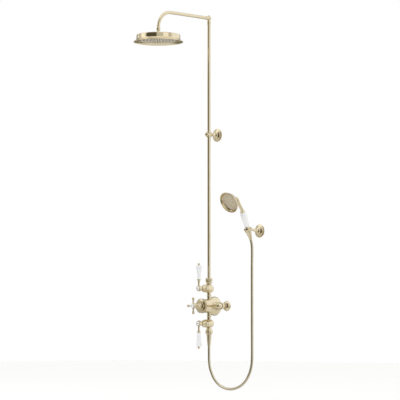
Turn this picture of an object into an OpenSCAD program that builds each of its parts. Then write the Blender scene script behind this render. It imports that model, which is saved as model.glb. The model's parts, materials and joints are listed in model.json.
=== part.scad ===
// Exposed thermostatic shower column: rigid riser, overhead rose, and a handset on a hose.
// Frame: the wall is the plane Y = 0, the object stands out of it towards -Y, and +Z is up.
// The origin is on the wall, midway between the two inlets. All sizes are millimetres.
// "out" below is a distance from the wall, so a point that is 56 out has Y = -56.

/* [Column] */
// Distance from the wall to the riser's axis
riser_out = 56; // [54:1:60]
// Outside diameter of the riser and of the arm
tube_d = 15; // [14.5:0.1:15.4]
// Height of the arm's axis above the inlets
arm_z = 1365; // [1200:5:1500]
// Height of the riser's wall bracket above the inlets
clamp_z = 810.5; // [400:0.5:1000]
// Distance from the riser's axis to the rose's axis
arm_reach = 327; // [280:1:360]
// Radius of the arm's bend, on its centreline
arm_bend = 78; // [60:1:82]

/* [Rose] */
// Diameter of the rose across its flared rim
rose_d = 230; // [220:1:260]
// Height of the rose from its rim to its top plate
rose_h = 36.5; // [34:0.5:38]
// Number of nozzle rings round the middle nozzle
rose_rings = 5; // [3:1:6]

/* [Valve] */
// Distance between the two inlets
inlet_centres = 130; // [126:1:150]
// Height of each flow control above or below the inlets
control_z = 82; // [80:1:86]
// Diameter of the thermostat body's bowl
bowl_d = 90; // [86:1:94]
// Distance from the wall to the levers' axis
lever_out = 122.5; // [122:0.5:126]
// Length of each lever's porcelain
lever_len = 66; // [56:1:76]
// Distance from the wall to the middle of the cross handle
cross_out = 158.5; // [158:0.5:162]
// Distance from the cross handle's axis to the middle of each ball
cross_reach = 33.5; // [30:0.5:38]

/* [Handset] */
// Distance from the riser's axis to the handset's bracket, along the wall
holder_x = 280; // [240:5:320]
// Height of the handset's bracket above the inlets
holder_z = 345; // [345:1:345]
// Lean of the grip away from the wall, in degrees
grip_tilt = 23; // [23:1:23]
// Diameter of the handset's head
handset_d = 102; // [96:1:106]
// Length of the porcelain grip
grip_len = 72; // [72:1:72]

/* [Hose] */
// Outside diameter of the hose
hose_d = 12.5; // [11:0.5:13]

/* [Hidden] */

$fn = 72;
gap = 0.1;                                // clearance between fixed pieces, on the radius
tube_r = tube_d / 2;
tube_wall = 1;
pipe_r = 7;                               // waterways in the castings
brass = [0.80, 0.72, 0.53];
dark_brass = [0.60, 0.52, 0.36];
porcelain = [0.96, 0.96, 0.94];
rubber = [0.15, 0.15, 0.15];
plastic = [0.85, 0.85, 0.82];

// Inlets
inlet_x = inlet_centres / 2;
thread_r = 10.48;                         // half-inch pipe thread, over its crests
thread_len = 15;
tail_r = 7.5;
tail_bore = 5.5;
tail_end = 38;                            // where the tail's collar meets its washer
washer_t = 1.5;
union_r = 13;                             // threads of the inlet unions
nut_r = 16;

// Thermostat body
bowl_r = bowl_d / 2;
bowl_back = 14;
drum_r = 31.5;
drum_out = 100;
core_r = 22;                              // bore for the cartridge
arm_r = 10.4;                             // side arms, and the flow bodies' necks
link_z = 47;                              // end of the body's upper and lower spigots
sleeve_r = 9.5;
spindle_bore = 4.55;

// Flow controls
flow_r = 19;
flow_back = 34;
flow_front = 87;
disc_r = 10;                              // bore for a disc cartridge
spindle_r = 4;
hub_r = 13.75;
hub_t = 12.5;
hub_front = lever_out + hub_t / 2 - 0.25;
neck_end = control_z + flow_r + 4;        // top of the upper flow body's neck
outlet_end = control_z + 36;              // foot of the lower flow body's neck, below the inlets
ferrule_at = 38;                          // lever measures, from the spindle's axis
porcelain_at = 42;
finial_at = porcelain_at + lever_len;

// Riser and arm
post_z = arm_z - 20;                      // top of the riser's collar, where the elbow turns
post_r = 6;
elbow_r = 11;
rose_out = riser_out + arm_reach;
arm_drop = 82;                            // from the arm's axis down to its open end

// Rose
ball_z = arm_z - 103.5;                   // middle of the swivel ball
ball_r = 7;
seat_r = 8;
rose_top = ball_z - 8;                    // top plate of the rose
rim_z = rose_top - rose_h;
rim_r = rose_d / 2;
wall_r = rim_r - 13.5;
skin = 1.6;
plate_z = rim_z + 10;
plate_r = wall_r - 4;

// Handset: s is a distance along the grip's axis, from the foot of the hose's cone nut
hose_foot = [holder_x, -60, 304];
cup_s = 53;
grip_s = 62;
neck_s = grip_s + grip_len;
knuckle_s = neck_s + 12;                  // where the neck bends
neck_turn = 14;                           // the neck leans this much further than the grip
neck_len = 58;
face_dip = 28;                            // the spray face looks this far below level
face_r = handset_d / 2;
face_at = [holder_x, -205.9, 465.6];      // middle of the head's front rim
plate_in = 12;                            // the spray plate is this far behind the rim
spray_r = face_r - 8;

// Hose: the route is the tube's centreline, from the valve to the handset
hose_top = -187;
HOSE_ROUTE = [
    [0, -56, -187], [0, -56, -205], [0, -56, -230], [1, -56, -258], [6, -56, -288], [18, -55, -318],
    [38, -55, -346], [66, -54, -369], [100, -54, -382], [138, -53, -387], [176, -53, -382],
    [211, -52, -368], [240, -52, -345], [261, -52, -316], [274, -52, -284], [279, -52, -252],
    [280, -52, -215], [280, -52, -160], [280, -52, -90], [280, -52, -20], [280, -52, 50],
    [280, -52, 120], [280, -52, 180], [280, -51, 225], [280, -51, 255], [280, -53, 280],
    [280, -60, 304]];
hose_sides = 10;
hose_steps = 2;

// Moves children to a place on the wall and turns their +Z to point out of it
module on_wall(x = 0, z = 0) translate([x, 0, z]) rotate([90, 0, 0]) children();
// Turns an outline of [radius, height] points round Z
module lathe(outline) rotate_extrude() polygon(outline);
module rod(r, from, to) translate([0, 0, from]) cylinder(r = r, h = to - from);
module tube(r, bore, from, to) difference() {
    rod(r, from, to);
    rod(bore, from - 1, to + 1);
}
// A rod along X at a given distance out and height
module side_rod(r, x1, x2, out, z) translate([x1, -out, z]) rotate([0, 90, 0]) cylinder(r = r, h = x2 - x1);
module at_inlets() for (side = [-1, 1]) on_wall(side * inlet_x) children();
module at_riser() translate([0, -riser_out, 0]) children();
module at_rose() translate([0, -rose_out, 0]) children();
// Handset frame: +Z along the grip, from the foot of the cone nut
module at_grip() translate(hose_foot) rotate([grip_tilt, 0, 0]) children();
// Spray face frame: +Z points back from the face into the bell
module at_face() translate(face_at) rotate([-90 + face_dip, 0, 0]) children();
// The upper control is drawn as it is, and the lower one is its mirror image
module control(up) mirror([0, 0, up ? 0 : 1]) translate([0, 0, control_z]) children();
// Lever frame: +Z along the lever, from the spindle's axis, with the hub's middle at the origin
module at_lever(up) control(up) translate([0, -lever_out, 0]) children();
module ring_of(count, radius) for (i = [0:count - 1]) rotate(i * 360 / count) translate([radius, 0, 0])
    children();
function arc(mid, r, from, to, steps) = [for (i = [0:steps]) let (a = from + (to - from) * i / steps)
    mid + r * [cos(a), sin(a)]];

// ---- Inlets ----
module inlet_wall_flanges() color(brass) at_inlets() difference() {
    lathe([[0, 0], [24, 0], [24, 1.6], [23.4, 4.6], [21.8, 8.2], [19.2, 11.4], [15.8, 14.2], [12, 16], [10.2, 16.4],
        [9.6, 18], [0, 18]]);
    lathe([[0, -1], [22.4, -1], [21.8, 4.2], [20.4, 7.4], [18, 10.2], [14.8, 12.7], [11, 14.4],
        [tail_r + 3 * gap, 14.8], [tail_r + 3 * gap, 19], [0, 19]]);
}
module inlet_tails() color(brass) at_inlets() difference() {
    union() {
        rod(thread_r, -thread_len, 0);
        rod(tail_r, 0, tail_end);
        rod(union_r - 2 * gap, tail_end - 3, tail_end);
    }
    rod(tail_bore, -1, tail_end + 1);
    rod(pipe_r, -6, 0);
    rod(pipe_r, -thread_len - 1, -9);
    ring_of(3, 4.3) rod(2, -10, -5);
}
module inlet_union_nuts() color(brass) at_inlets() difference() {
    union() {
        lathe([[0, 33], [13, 33], [14.6, 34], [nut_r, 35.4], [nut_r, 43.6], [14.8, 44.8], [0, 44.8]]);
        ring_of(24, nut_r - 0.1) rod(0.8, 36.2, 42.8);
    }
    rod(tail_r + 2 * gap, 32, 36);
    rod(union_r + gap, 35, 52);
}
module inlet_check_valves() color(plastic) at_inlets() difference() {
    rod(pipe_r - gap, -5.9, 0);
    rod(4.5, -4, 1);
    rod(3, -7, -3);
}
module union_washers() color(rubber) {
    at_inlets() tube(12.4, tail_bore + 0.5, tail_end, tail_end + washer_t);
    at_riser() tube(9.9, pipe_r, -outlet_end - washer_t, -outlet_end);
}

// ---- Thermostat body ----
module bowl_outline() polygon(concat(
    [[0, bowl_back], [bowl_r - 8, bowl_back]],
    arc([bowl_r - 7, bowl_back + 7], 7, -80, 0, 4),
    [[bowl_r - 0.4, 26], [bowl_r - 1.8, 32], [bowl_r - 4.2, 39], [bowl_r - 7.4, 46], [bowl_r - 10.2, 53],
        [bowl_r - 12.2, 60], [drum_r, 67], [drum_r, drum_out], [0, drum_out]]));
module valve_body() color(brass) difference() {
    union() {
        on_wall() rotate_extrude() bowl_outline();
        side_rod(arm_r, -inlet_x, inlet_x, riser_out, 0);
        for (side = [-1, 1]) translate([side * inlet_x, -riser_out, 0]) sphere(r = union_r);
        at_inlets() rod(union_r - gap, tail_end + washer_t, riser_out);
        at_riser() rod(sleeve_r, -link_z, link_z);
    }
    on_wall() {
        rod(core_r, 42, drum_out + 1);
        rod(29, drum_out - 3, drum_out + 1);
    }
    for (side = [-1, 1]) side_rod(pipe_r, side > 0 ? 15 : -inlet_x, side > 0 ? inlet_x : -15, riser_out, 0);
    at_inlets() rod(pipe_r, tail_end, riser_out);
    at_riser() for (up = [0, 1]) mirror([0, 0, up]) rod(pipe_r, 15, link_z + 1);
}
module link_sleeves() color(brass) at_riser() for (up = [0, 1]) mirror([0, 0, up]) difference() {
    lathe([[0, link_z], [11, link_z], [11.5, 48], [11, 49.4], [sleeve_r, 50.4], [sleeve_r, control_z - 15],
        [0, control_z - 15]]);
    rod(pipe_r, link_z - 1, control_z);
}
module o_rings() color(rubber) {
    at_riser() for (up = [0, 1]) mirror([0, 0, up]) translate([0, 0, control_z - 14.2]) torus(8.3, 0.75);
    on_wall() for (out = [47, 65]) translate([0, 0, out]) torus(core_r - 0.75, 0.7);
    at_riser() for (z = [post_z + 5, post_z + 9]) translate([0, 0, z]) torus(5.3, 0.6);
}
module torus(r, thickness) rotate_extrude() translate([r, 0]) circle(r = thickness, $fn = 24);
module thermostat_cartridge() color(plastic) on_wall() difference() {
    union() {
        rod(19, 43, drum_out - 3);
        rod(core_r - gap, 43, 49);
        rod(core_r - gap, 63, drum_out - 3);
        rod(28.8, drum_out - 3, drum_out + 3);
        rod(14, drum_out, drum_out + 10);
    }
    for (out = [47, 65]) translate([0, 0, out]) torus(core_r - 0.75, 0.85);
    rod(spindle_bore, 80, drum_out + 11);
    ring_of(6, 13) rod(2.6, 42, 58);
}
module front_ring() color(dark_brass) on_wall() difference() {
    union() {
        lathe([[0, drum_out], [33.4, drum_out], [34, 101.5], [33.2, 103], [33.2, 109], [34, 110.5], [33, 112],
            [0, 112]]);
        ring_of(40, 33.1) rod(1, 103.6, 108.4);
    }
    rod(29.2, drum_out - 1, 113);
}
module temperature_dial() color(brass) on_wall() difference() {
    union() {
        lathe([[0, 103.2], [29, 103.2], [29, 112], [32.4, 112], [31.6, 113.2], [27, 114.8], [21, 116], [0, 116]]);
        for (i = [-4:4]) rotate(i * 30 + 90) translate([25.2, 0, 0]) rod(0.9, 112.5, 115.8);
    }
    rod(27, 102, 111);
    rod(15, 102, 117);
}

// ---- Temperature handle ----
module thermostat_spindle() color(dark_brass) on_wall() {
    rod(4.5, 82, 161);
    rod(8, 111, 115);
}
module cross_handle() color(brass) on_wall() difference() {
    union() {
        lathe([[0, 116.6], [14, 116.6], [14.4, 118], [12.4, 122], [11.6, 128], [11.2, 140], [11, 146],
            [11.6, 149], [12.6, 152], [13, 158], [12.6, 163], [11.4, 165], [0, 165]]);
        for (turn = [0:90:270]) rotate(turn) translate([0, 0, cross_out]) rotate([0, 90, 0]) {
            lathe([[0, 8], [5.2, 8], [4.4, 14], [3.6, 20], [3.4, 25], [5, 26.5], [5, 27.8], [3, 29], [0, 29]]);
            translate([0, 0, cross_reach]) sphere(r = 6.3);
        }
    }
    rod(spindle_bore, 116, 161.2);
    rod(9.2, 163, 166);
    rod(2.2, 160, 164);
}
module cross_screw() color(dark_brass) on_wall() {
    rod(2.1, 161.2, 163.2);
    rod(4, 163.2, 165.4);
}
module cross_cap() color(porcelain) on_wall() difference() {
    lathe([[0, 163.2], [9, 163.2], [9, 165.1], [10.2, 165.1], [10.2, 167], [8.5, 168.8], [5, 169.8],
        [0, 170]]);
    rod(4.4, 163, 165.7);
}

// ---- Flow controls ----
module flow_outline() polygon([[0, flow_back], [9, flow_back + 1], [14.5, 38.5], [17.6, 43], [flow_r, 49],
    [flow_r, 78], [17.4, 79.5], [17.4, 81.5], [18.4, 83], [18.4, flow_front], [0, flow_front]]);
module flow_body(neck) difference() {
    union() {
        on_wall() rotate_extrude() flow_outline();
        at_riser() rod(arm_r, 0, neck);
    }
    on_wall() rod(disc_r, 46, flow_front + 1);
    at_riser() {
        rod(pipe_r, -30, -8);
        rod(pipe_r, 8, neck + 1);
        rod(sleeve_r + gap, -30, -13.4);
    }
}
module upper_flow_body() color(brass) control(true) difference() {
    flow_body(neck_end - control_z);
    at_riser() rod(tube_r + gap, neck_end - control_z - 7, 30);
}
module lower_flow_body() color(brass) control(false) flow_body(outlet_end - control_z);
module disc_cartridges() color(plastic) for (up = [true, false]) control(up) on_wall() difference() {
    union() {
        rod(disc_r - gap, 47, 90);
    }
    rod(spindle_r + 0.08, 70, 91);
    rod(5, 46, 58);
    rotate([90, 0, 0]) translate([0, 62, -15]) cylinder(r = 4.5, h = 30);
}
module control_bonnets() color(brass) for (up = [true, false]) control(up) on_wall() difference() {
    lathe([[0, flow_front], [17.6, flow_front], [17.6, 89], [15.5, 91], [12.4, 95.5], [10.2, 99],
        [9.5, 101], [9.5, 103.2], [0, 103.2]]);
    rod(disc_r, flow_front - 1, 91);
    rod(spindle_r + 0.3, 90, 104);
}

// ---- Levers: the lower one mirrors the upper one ----
module spindle(up) color(dark_brass) control(up) on_wall() rod(spindle_r, 72, hub_front - 3);
module lever_arm(up) color(brass) at_lever(up) difference() {
    union() {
        rotate([90, 0, 0]) lathe([[0, -18.4], [7, -18.4], [7, -10], [8.5, -8], [12.4, -6.2], [hub_r, -4],
            [hub_r, 4], [12.6, 6], [0, 6]]);
        lathe([[0, 0], [5.2, 11], [4.2, 16], [4, 22], [4.2, 31], [4.9, 33.4], [4.2, 35], [6.8, ferrule_at],
            [8.8, 39.4], [8.8, porcelain_at], [0, porcelain_at]]);
    }
    rotate([90, 0, 0]) {
        rod(spindle_r + 0.05, -19, 3);
        rod(9.3, 4, 7);
    }
    rod(2.1, ferrule_at - 6, porcelain_at + 1);
}
module lever_porcelain(up) color(porcelain) at_lever(up) difference() {
    lathe([[0, porcelain_at], [7.4, porcelain_at], [8.1, 44], [7.7, 49], [7.9, 60], [8.8, 72], [10.6, 84],
        [12.7, finial_at - 13], [13.2, finial_at - 8], [12.6, finial_at - 4], [10, finial_at - 1.2],
        [5.5, finial_at], [0, finial_at]]);
    rod(2.2, porcelain_at - 1, finial_at + 1);
}
module lever_finial(up) color(brass) at_lever(up) {
    rod(2, ferrule_at - 5, finial_at + 1);
    rod(4, finial_at, finial_at + 1.2);
    translate([0, 0, finial_at + 5.6]) sphere(r = 5.2);
}
module index_disc(up) color(porcelain) at_lever(up) rotate([90, 0, 0])
    lathe([[0, 4], [9.1, 4], [9.1, 6.6], [8, 7.4], [3, 7.9], [0, 7.9]]);
module upper_spindle() spindle(true);
module lower_spindle() spindle(false);
module upper_lever_arm() lever_arm(true);
module lower_lever_arm() lever_arm(false);
module upper_lever_porcelain() lever_porcelain(true);
module lower_lever_porcelain() lever_porcelain(false);
module upper_lever_finial() lever_finial(true);
module lower_lever_finial() lever_finial(false);
module upper_index_disc() index_disc(true);
module lower_index_disc() index_disc(false);

// ---- Riser ----
module riser_union_nut() color(brass) at_riser() difference() {
    union() {
        lathe([[0, 101.4], [11.4, 101.4], [11.6, 104], [13.2, 109], [15.2, 113], [16, 117], [16, 129],
            [14.6, 131.6], [0, 131.6]]);
        ring_of(24, 15.9) rod(0.9, 118, 128);
    }
    rod(arm_r + gap, 100, neck_end);
    rod(tube_r + 2, neck_end - 0.01, neck_end + 6);
    rod(tube_r + gap, neck_end, 133);
}
module riser_olive() color(dark_brass) at_riser() difference() {
    lathe([[0, neck_end], [8.2, neck_end], [9.3, neck_end + 2.5], [8.2, neck_end + 5], [0, neck_end + 5]]);
    rod(tube_r + 0.02, 0, neck_end + 6);
}
module riser_tube() color(brass) at_riser() tube(tube_r, tube_r - tube_wall, neck_end - 6, post_z - 5);
module swivel_post() color(brass) at_riser() difference() {
    union() {
        lathe([[0, post_z - 10], [8.3, post_z - 10], [8.7, post_z - 9], [8.7, post_z - 1.5], [8.3, post_z],
            [0, post_z]]);
        rod(post_r, post_z, arm_z + 7);
    }
    rod(tube_r + gap, post_z - 15, post_z - 5);
    rod(4, post_z - 6, arm_z + 3);
    for (z = [post_z + 5, post_z + 9]) translate([0, 0, z]) torus(5.3, 0.72);
    translate([0, 0, arm_z]) for (turn = [0, 90]) rotate([90, 0, turn]) cylinder(r = 3.4, h = 20, center = true);
    rod(2.55, arm_z, arm_z + 8);
}
module elbow_cap() color(brass) at_riser() {
    lathe([[0, arm_z + 10.3], [5.6, arm_z + 10.3], [5.6, arm_z + 11.4], [4.4, arm_z + 12.8],
        [2, arm_z + 13.6], [0, arm_z + 13.7]]);
    rod(2.5, arm_z + 4, arm_z + 10.4);
}

// ---- Wall brackets ----
module at_brackets() {
    on_wall(0, clamp_z) children();
    on_wall(holder_x, holder_z) children();
}
module bracket_wall_plates() color(dark_brass) at_brackets() difference() {
    union() {
        rod(22, 0, 3);
        rod(9, 3, 16);
    }
    rod(5.1, 1, 17);
    for (side = [-1, 1]) translate([0, side * 16, 0]) {
        rod(2.35, -1, 4);
        translate([0, 0, 1.2]) cylinder(r1 = 2.35, r2 = 4.6, h = 2);
    }
}
module bracket_wall_screws() color([0.7, 0.7, 0.7]) at_brackets() for (side = [-1, 1])
    translate([0, side * 16, 0]) {
        rod(2.25, -25, 0);
        rod(2, 0, 1.2);
        translate([0, 0, 1.2]) cylinder(r1 = 2, r2 = 4.2, h = 1.8);
        translate([0, 0, -30]) cylinder(r1 = 0.3, r2 = 2.25, h = 5);
    }
module bracket_flanges() color(brass) at_brackets() difference() {
    lathe([[0, 0], [31, 0], [31, 2], [29.6, 3.4], [24, 4.6], [22.6, 5.4], [22, 7.4], [20, 8.8], [15.5, 10.6],
        [13.2, 13], [12.6, 16], [0, 16]]);
    lathe([[0, -1], [29.4, -1], [28.4, 2], [22.3, 3.2], [9.2, 8], [9.2, 17], [0, 17]]);
}
module riser_clamp() color(brass) difference() {
    union() {
        on_wall(0, clamp_z) {
            rod(5, 6, 17);
            lathe([[0, 16], [11.6, 16], [11.6, 17.6], [8.4, 19.6], [6.6, 24], [6.2, 34], [7.4, 40],
                [8.6, 46], [8.6, 50], [0, 50]]);
            rod(8.4, 58, 69.4);
        }
        at_riser() lathe([[0, clamp_z - 13], [11.6, clamp_z - 13], [12.6, clamp_z - 11.6],
            [12, clamp_z - 9.4], [12, clamp_z + 9.4], [12.6, clamp_z + 11.6], [11.6, clamp_z + 13],
            [0, clamp_z + 13]]);
    }
    at_riser() rod(tube_r + gap, clamp_z - 14, clamp_z + 14);
    on_wall(0, clamp_z) rod(3, 60, 70);
}
module clamp_screw() color(brass) on_wall(0, clamp_z) {
    rod(2.9, 64.2, 69.5);
    lathe([[0, 69.4], [9.4, 69.4], [10.4, 70.6], [10.4, 72.4], [9, 75], [5.6, 77.2], [2, 78], [0, 78]]);
}

// ---- Handset's wall bracket ----
module holder_cup() color(brass) difference() {
    union() {
        on_wall(holder_x, holder_z) {
            rod(5, 6, 17);
            lathe([[0, 16], [11.6, 16], [11.6, 17.6], [7.6, 19.6], [5.8, 23], [0, 26]]);
        }
        translate([holder_x, -19, holder_z]) rotate([90 - 8, 0, 0]) cylinder(r1 = 5.6, r2 = 6.2, h = 46);
        at_grip() lathe([[0, 39], [14.8, 39], [15.6, 40.4], [15.8, 45], [17, 47.6], [18.6, 49.4], [19, 51],
            [18.4, cup_s], [0, cup_s]]);
    }
    at_grip() translate([0, 0, 36]) cylinder(r1 = 13.3, r2 = 16.2, h = 18);
}

// ---- Overhead arm ----
module arm_elbow() color(brass) difference() {
    union() {
        translate([0, -riser_out, arm_z]) sphere(r = elbow_r);
        at_riser() lathe([[0, post_z + 0.6], [8.3, post_z + 0.6], [8.7, post_z + 2], [8.7, post_z + 5],
            [8, post_z + 6.4], [8, arm_z], [0, arm_z]]);
        on_wall(0, arm_z) lathe([[0, riser_out], [8, riser_out], [8, riser_out + 14], [8.8, riser_out + 15.5],
            [8.8, riser_out + 22.5], [8.3, riser_out + 24], [0, riser_out + 24]]);
    }
    at_riser() {
        rod(post_r + 0.06, post_z, arm_z + 7.3);
        rod(2.7, arm_z, arm_z + 20);
        rod(20, arm_z + 10, arm_z + 20);
    }
    on_wall(0, arm_z) {
        rod(4.5, riser_out, riser_out + 30);
        rod(tube_r + gap, riser_out + 15, riser_out + 25);
    }
}
module arm_pipe(r) {
    on_wall(0, arm_z) rod(r, riser_out + 15, rose_out - arm_bend);
    translate([0, -rose_out + arm_bend, arm_z - arm_bend]) rotate([90, 0, -90])
        rotate_extrude(angle = 90) translate([arm_bend, 0]) circle(r = r);
    at_rose() rod(r, arm_z - arm_drop, arm_z - arm_bend);
}
module arm_tube() color(brass) difference() {
    arm_pipe(tube_r);
    arm_pipe(tube_r - tube_wall);
    on_wall(0, arm_z) rod(tube_r - tube_wall, riser_out + 14, riser_out + 16);
    at_rose() rod(tube_r - tube_wall, arm_z - arm_drop - 1, arm_z - arm_drop + 1);
}
module rose_union_nut() color(brass) at_rose() difference() {
    lathe([[0, ball_z + 9.4], [8.2, ball_z + 9.4], [9, ball_z + 10.4], [9, ball_z + 21], [9.6, ball_z + 22.4],
        [9, ball_z + 24], [0, ball_z + 24]]);
    rod(tube_r + gap, ball_z + 17, ball_z + 25);
    rod(6.1, ball_z + 9, ball_z + 18);
}
module swivel_ball() color(brass) at_rose() difference() {
    union() {
        translate([0, 0, ball_z]) sphere(r = ball_r);
        rod(4, ball_z, ball_z + 12);
        rod(6, ball_z + 10.5, ball_z + 17);
        rod(tube_r - tube_wall - gap, ball_z + 17, ball_z + 24);
    }
    rod(2.6, ball_z - 10, ball_z + 25);
}
module ball_seat() color(plastic) at_rose() difference() {
    translate([0, 0, ball_z]) sphere(r = seat_r);
    translate([0, 0, ball_z]) sphere(r = ball_r + 0.05);
    rod(20, ball_z - 1.8, ball_z + 10);
    rod(3.6, ball_z - 10, ball_z);
}

// ---- Rose ----
module rose_socket() color(brass) at_rose() difference() {
    lathe([[0, rose_top - 4], [8.9, rose_top - 4], [8.9, rose_top], [15, rose_top], [15, rose_top + 1.2],
        [12, rose_top + 2.6], [9.6, rose_top + 4], [9.6, ball_z + 5.2], [0, ball_z + 5.2]]);
    intersection() {
        translate([0, 0, ball_z]) sphere(r = seat_r + 0.1);
        rod(20, ball_z - 10, ball_z + 2);
    }
    translate([0, 0, ball_z]) sphere(r = ball_r + 0.3);
    rod(3.6, rose_top - 5, ball_z);
    rod(6.5, ball_z, ball_z + 6);
}
module rose_shell() color(brass) at_rose() difference() {
    lathe([[0, rim_z], [rim_r, rim_z], [rim_r, rim_z + 2], [rim_r - 2.6, rim_z + 4.4], [rim_r - 8, rim_z + 7.6],
        [wall_r, rim_z + 13], [wall_r, rose_top - 9], [wall_r - 1.4, rose_top - 5.6],
        [wall_r - 5, rose_top - 2.8], [wall_r - 12, rose_top - 1.4], [60, rose_top - 0.4], [15, rose_top],
        [0, rose_top]]);
    lathe([[0, rim_z - 1], [rim_r - skin, rim_z - 1], [rim_r - skin, rim_z + 1], [rim_r - 9, rim_z + 6],
        [plate_r + gap, plate_z - 0.5], [plate_r + gap, rose_top - 8], [wall_r - 8, rose_top - 4.6],
        [60, rose_top - 0.4 - skin], [15, rose_top - skin], [0, rose_top - skin]]);
    rod(9, rose_top - 5, rose_top + 1);
}
function ring_count(ring) = ring == 0 ? 1 : 8 * ring;
module at_nozzles(rings, step, inner) for (ring = [inner:rings]) ring_of(ring_count(ring), ring * step)
    children();
module rose_spray_plate() color(brass) at_rose() difference() {
    union() {
        rod(plate_r, plate_z, plate_z + 2);
        tube(plate_r - 4.5, plate_r - 7, plate_z - 1.6, plate_z + 1);
    }
    at_nozzles(rose_rings, 15.5, 0) rod(2, plate_z - 1, plate_z + 3);
}
module rose_nozzles() color([0.8, 0.8, 0.78]) at_rose() {
    at_nozzles(rose_rings, 15.5, 0) rod(1.9, plate_z - 2.4, plate_z + 2.6);
    rod(plate_r - 3, plate_z + 2, plate_z + 3.2);
}

// ---- Handset ----
function bell_outline() = [[0, 1.2], [face_r - 1.4, 1.2], [face_r, 3], [face_r, 5.6], [face_r - 1.6, 8.6],
    [face_r - 5.4, 13.6], [face_r - 10.4, 19.6], [face_r - 17, 25.8], [face_r - 24, 31.6], [face_r - 31, 37.6],
    [14.6, 43], [11.6, 48], [7, 51], [0, 52]];
module handset_bell() color(brass) at_face() difference() {
    lathe(bell_outline());
    lathe([[0, 0], [face_r - 1.9, 0], [face_r - 1.9, 8.2], [face_r - 6.9, 13.2], [face_r - 8.6, 15.4],
        [face_r - 13.4, 20.5], [face_r - 20, 26.6], [face_r - 27, 32.4], [face_r - 34, 38.2], [8, 43],
        [0, 44]]);
    translate([0, 0, 40]) cylinder(r = 5, h = 8);
}
module handset_bezel() color(brass) at_face() rotate_extrude() polygon([[face_r - 2, 0.6], [face_r - 2, 8.1],
    [face_r - 7, 13.1], [face_r - 7.6, plate_in + 1.8], [spray_r + 0.1, plate_in + 1.8],
    [spray_r + 0.1, 11.6], [face_r - 6.6, 10.4], [face_r - 2.8, 2], [face_r - 2.6, 0.6]]);
module handset_spray_plate() color(dark_brass) at_face() difference() {
    rod(spray_r, plate_in, plate_in + 1.8);
    at_nozzles(4, 9, 0) rod(1.4, plate_in - 1, plate_in + 2);
}
module handset_nozzles() color([0.8, 0.8, 0.78]) at_face() {
    at_nozzles(4, 9, 0) rod(1.3, plate_in - 1.4, plate_in + 2.3);
    rod(spray_r - 1, plate_in + 1.8, plate_in + 2.8);
}
module at_neck() at_grip() translate([0, 0, knuckle_s]) rotate([neck_turn, 0, 0]) children();
module handset_neck() color(brass) difference() {
    union() {
        at_grip() {
            rod(5.6, cup_s - 12, knuckle_s);
            rod(10, cup_s - 12, cup_s);
            rod(12.6, cup_s, cup_s + 1.5);
            difference() {
                translate([0, 0, knuckle_s]) sphere(r = 8.6);
                rod(20, 0, knuckle_s - 5);
            }
        }
        at_neck() {
            lathe([[0, 0], [7.6, 0], [7.6, 20], [8.6, 38], [10.4, 50], [11, neck_len], [0, neck_len]]);
            translate([0, 0, neck_len]) sphere(r = 11);
        }
    }
    at_grip() rod(4, cup_s - 13, knuckle_s);
    at_neck() rod(4, -1, neck_len);
    at_face() lathe(bell_outline());
}
module handset_ferrules() color(brass) at_grip() {
    difference() {
        lathe([[0, cup_s + 1.5], [13.6, cup_s + 1.5], [14, cup_s + 3.5], [12, cup_s + 5.5],
            [11, cup_s + 7], [11, grip_s], [0, grip_s]]);
        rod(5.7, cup_s, grip_s + 1);
    }
    difference() {
        lathe([[0, neck_s], [12, neck_s], [12.6, neck_s + 1.6], [11.6, neck_s + 3.4], [9.4, neck_s + 5.4],
            [8.8, neck_s + 7], [0, neck_s + 7]]);
        rod(5.7, neck_s - 1, neck_s + 8);
    }
}
module handset_grip() color(porcelain) at_grip() difference() {
    lathe([[0, grip_s], [9.6, grip_s], [10.4, grip_s + 3], [11.2, grip_s + 12], [12.6, grip_s + 28],
        [13.8, grip_s + 46], [14, grip_s + 56], [13.2, grip_s + 65], [11.4, neck_s - 1.4], [10.4, neck_s],
        [0, neck_s]]);
    rod(5.8, grip_s - 1, neck_s + 1);
}

// ---- Hose and its fittings ----
module hose_outlet_collar() color(brass) at_riser() mirror([0, 0, 1]) difference() {
    lathe([[0, 104.4], [11.8, 104.4], [12.6, 107.4], [14.8, 110.6], [16.6, 114.4],
        [17, 117], [17, 127], [16, 129], [13.4, 130.6], [0, 130.6]]);
    rod(arm_r + gap, 100, outlet_end + 6);
    rod(9.5, 100, 131);
}
module hose_valve_cone() color(brass) at_riser() mirror([0, 0, 1]) difference() {
    lathe([[0, outlet_end + washer_t], [10.3, outlet_end + washer_t], [10.3, outlet_end + 5.8],
        [9.3, outlet_end + 5.8], [9.3, 130.8], [12.2, 130.8], [12.8, 133],
        [12.2, 135.4], [11.4, 138], [10.4, 155], [8.6, 172], [7.6, 184], [7.2, -hose_top], [0, -hose_top]]);
    rod(4.5, 100, 180);
}
module hose_cone_nut() color(brass) at_grip() difference() {
    lathe([[0, 0.05], [7.2, 0.05], [7.6, 3], [8.6, 12], [10, 22], [11.6, 29], [15.6, cup_s], [0, cup_s]]);
    rod(4.5, 8, 60);
    rod(10.1, cup_s - 12, cup_s + 1);
}

// Catmull-Rom point on the hose's route, between points i and i + 1, with t from 0 to 1
function route_at(i) = HOSE_ROUTE[max(0, min(len(HOSE_ROUTE) - 1, i))];
function spline(i, t) = let (a = route_at(i - 1), b = route_at(i), c = route_at(i + 1), d = route_at(i + 2))
    0.5 * (2 * b + (c - a) * t + (2 * a - 5 * b + 4 * c - d) * t * t + (3 * b - a - 3 * c + d) * t * t * t);
hose_line = concat([for (i = [0:len(HOSE_ROUTE) - 2]) for (k = [0:hose_steps - 1]) spline(i, k / hose_steps)],
    [route_at(len(HOSE_ROUTE) - 1)]);
function unit(v) = v / norm(v);
last = len(hose_line) - 1;
// The tube leaves each nut square to its face, and elsewhere a ring halves the angle between its neighbours
function heading(i) = i == 0 ? [0, 0, -1]
    : i == last ? [0, -sin(grip_tilt), cos(grip_tilt)]
    : unit(hose_line[i + 1] - hose_line[i - 1]);
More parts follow.
